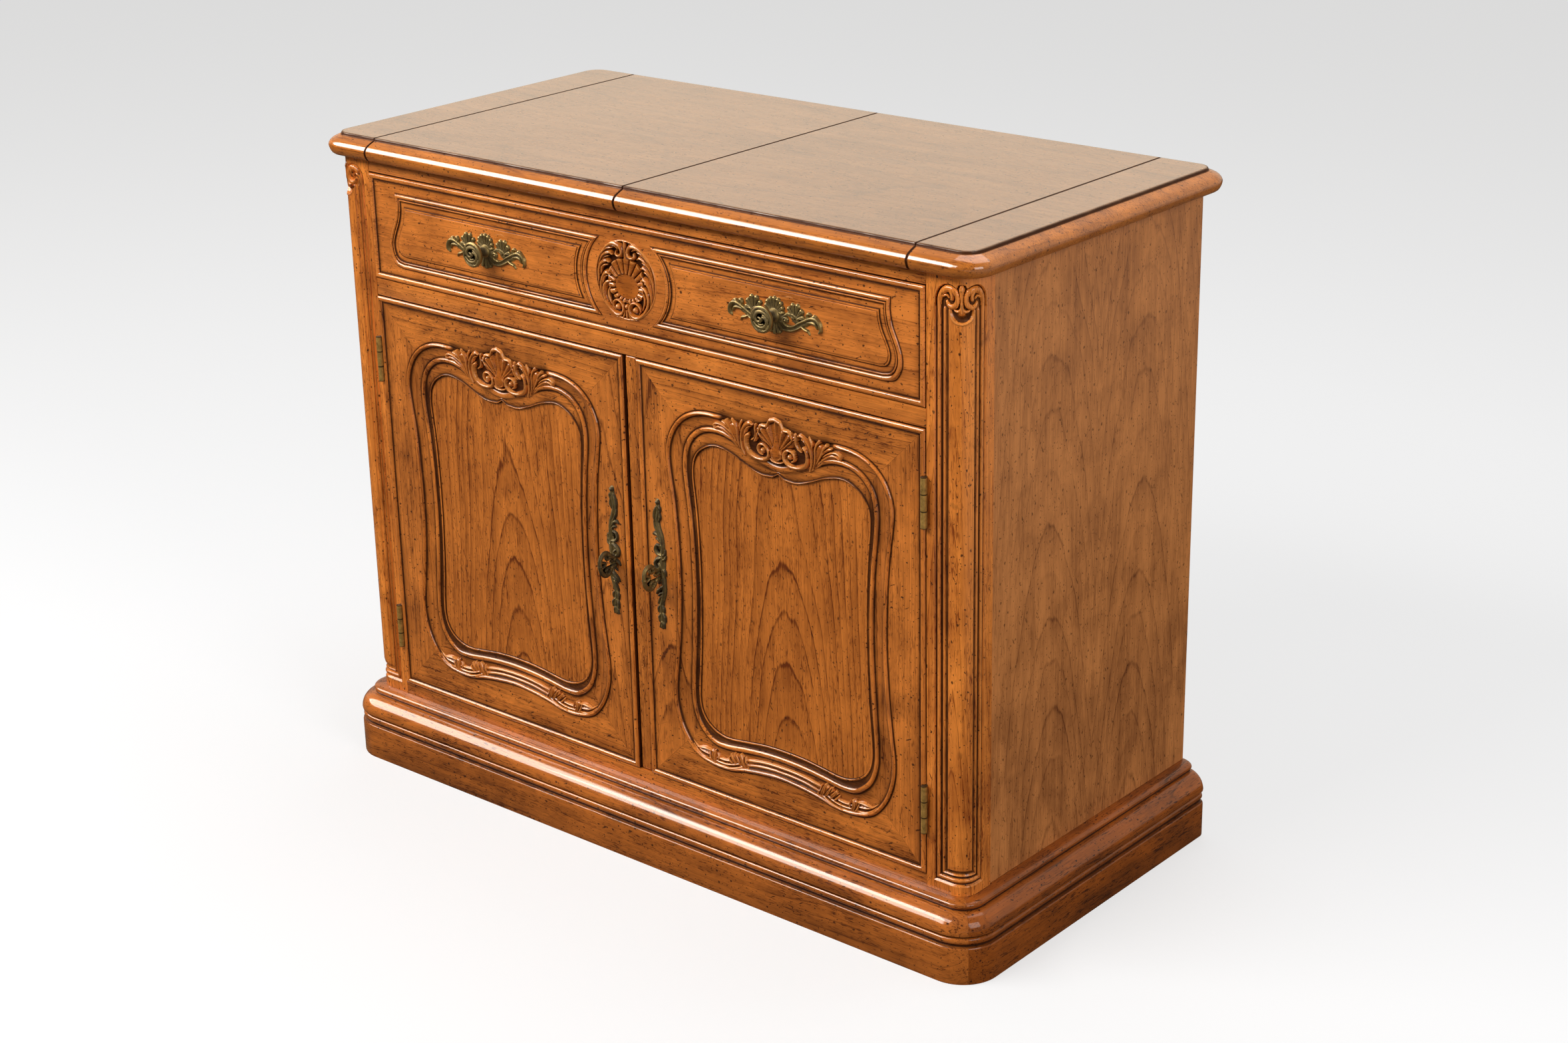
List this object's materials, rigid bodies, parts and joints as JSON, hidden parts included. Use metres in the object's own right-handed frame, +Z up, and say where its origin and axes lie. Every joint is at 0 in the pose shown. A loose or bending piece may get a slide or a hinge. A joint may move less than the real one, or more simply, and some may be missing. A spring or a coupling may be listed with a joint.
{
  "type": "flip top server",
  "caption": "Low serving cabinet with panelled doors on a moulded base, a wide drawer, and a top whose middle leaves turn over onto its ends to lengthen the serving surface.",
  "frame": {"origin": "on the floor under the middle of the whole piece", "axes": "+X to the right along the front, +Y from the front to the back, +Z up"},
  "size_m": [0.9528, 0.478, 0.775],
  "materials": {
    "walnut": "glazed and polished walnut",
    "inner_wood": "plain sealed wood and plywood",
    "laminate": "black heat-resistant serving surface",
    "brass": "aged brass",
    "bronze": "cast brass with a dark antique patina"
  },
  "bodies": {
    "case": {"base_front": "walnut", "base_left": "walnut", "base_right": "walnut", "base_back": "inner_wood", "left_post": "walnut", "right_post": "walnut", "left_side": "walnut", "right_side": "walnut", "back_panel": "inner_wood", "bottom_board": "walnut", "dust_panel": "inner_wood", "serving_deck": "laminate", "middle_rail": "walnut", "top_rail": "walnut", "centre_stile": "walnut", "shelf": "inner_wood", "left_drawer_runner": "inner_wood", "right_drawer_runner": "inner_wood", "left_top_end": "walnut", "right_top_end": "walnut", "left_flip_hinge_front_fixed": "brass", "left_flip_hinge_rear_fixed": "brass", "left_door_hinge_upper_fixed": "brass", "left_door_hinge_lower_fixed": "brass", "right_flip_hinge_front_fixed": "brass", "right_flip_hinge_rear_fixed": "brass", "right_door_hinge_upper_fixed": "brass", "right_door_hinge_lower_fixed": "brass"},
    "left_flap": {"left_leaf": "walnut", "left_flip_hinge_front_moving": "brass", "left_flip_hinge_rear_moving": "brass"},
    "right_flap": {"right_leaf": "walnut", "right_flip_hinge_front_moving": "brass", "right_flip_hinge_rear_moving": "brass"},
    "left_door": {"left_door_hinge_stile": "walnut", "left_door_pull_stile": "walnut", "left_door_top_rail": "walnut", "left_door_bottom_rail": "walnut", "left_door_panel": "walnut", "left_door_pull": "bronze", "left_door_hinge_upper_moving": "brass", "left_door_hinge_lower_moving": "brass"},
    "right_door": {"right_door_hinge_stile": "walnut", "right_door_pull_stile": "walnut", "right_door_top_rail": "walnut", "right_door_bottom_rail": "walnut", "right_door_panel": "walnut", "right_door_pull": "bronze", "right_door_hinge_upper_moving": "brass", "right_door_hinge_lower_moving": "brass"},
    "drawer": {"drawer_front": "walnut", "drawer_left_side": "inner_wood", "drawer_right_side": "inner_wood", "drawer_bottom": "inner_wood", "drawer_back": "inner_wood", "left_knob_plate": "bronze", "right_knob_plate": "bronze", "left_knob": "bronze", "right_knob": "bronze"}
  },
  "joints": [
    {"name": "left_flap_hinge", "type": "hinge", "parent": "case", "child": "left_flap", "pos_m": [-0.384, 0, 0.7753], "axis": [0, -1, 0], "range_deg": [0, 180]},
    {"name": "right_flap_hinge", "type": "hinge", "parent": "case", "child": "right_flap", "pos_m": [0.384, 0, 0.7753], "axis": [0, 1, 0], "range_deg": [0, 180]},
    {"name": "drawer_slide", "type": "slide", "parent": "case", "child": "drawer", "axis": [0, -1, 0], "range_m": [0, 0.3]},
    {"name": "left_door_hinge", "type": "hinge", "parent": "case", "child": "left_door", "pos_m": [-0.3964, -0.2118, 0.345], "axis": [0, 0, -1], "range_deg": [0, 110]},
    {"name": "right_door_hinge", "type": "hinge", "parent": "case", "child": "right_door", "pos_m": [0.3964, -0.2118, 0.345], "axis": [0, 0, 1], "range_deg": [0, 110]}
  ]
}
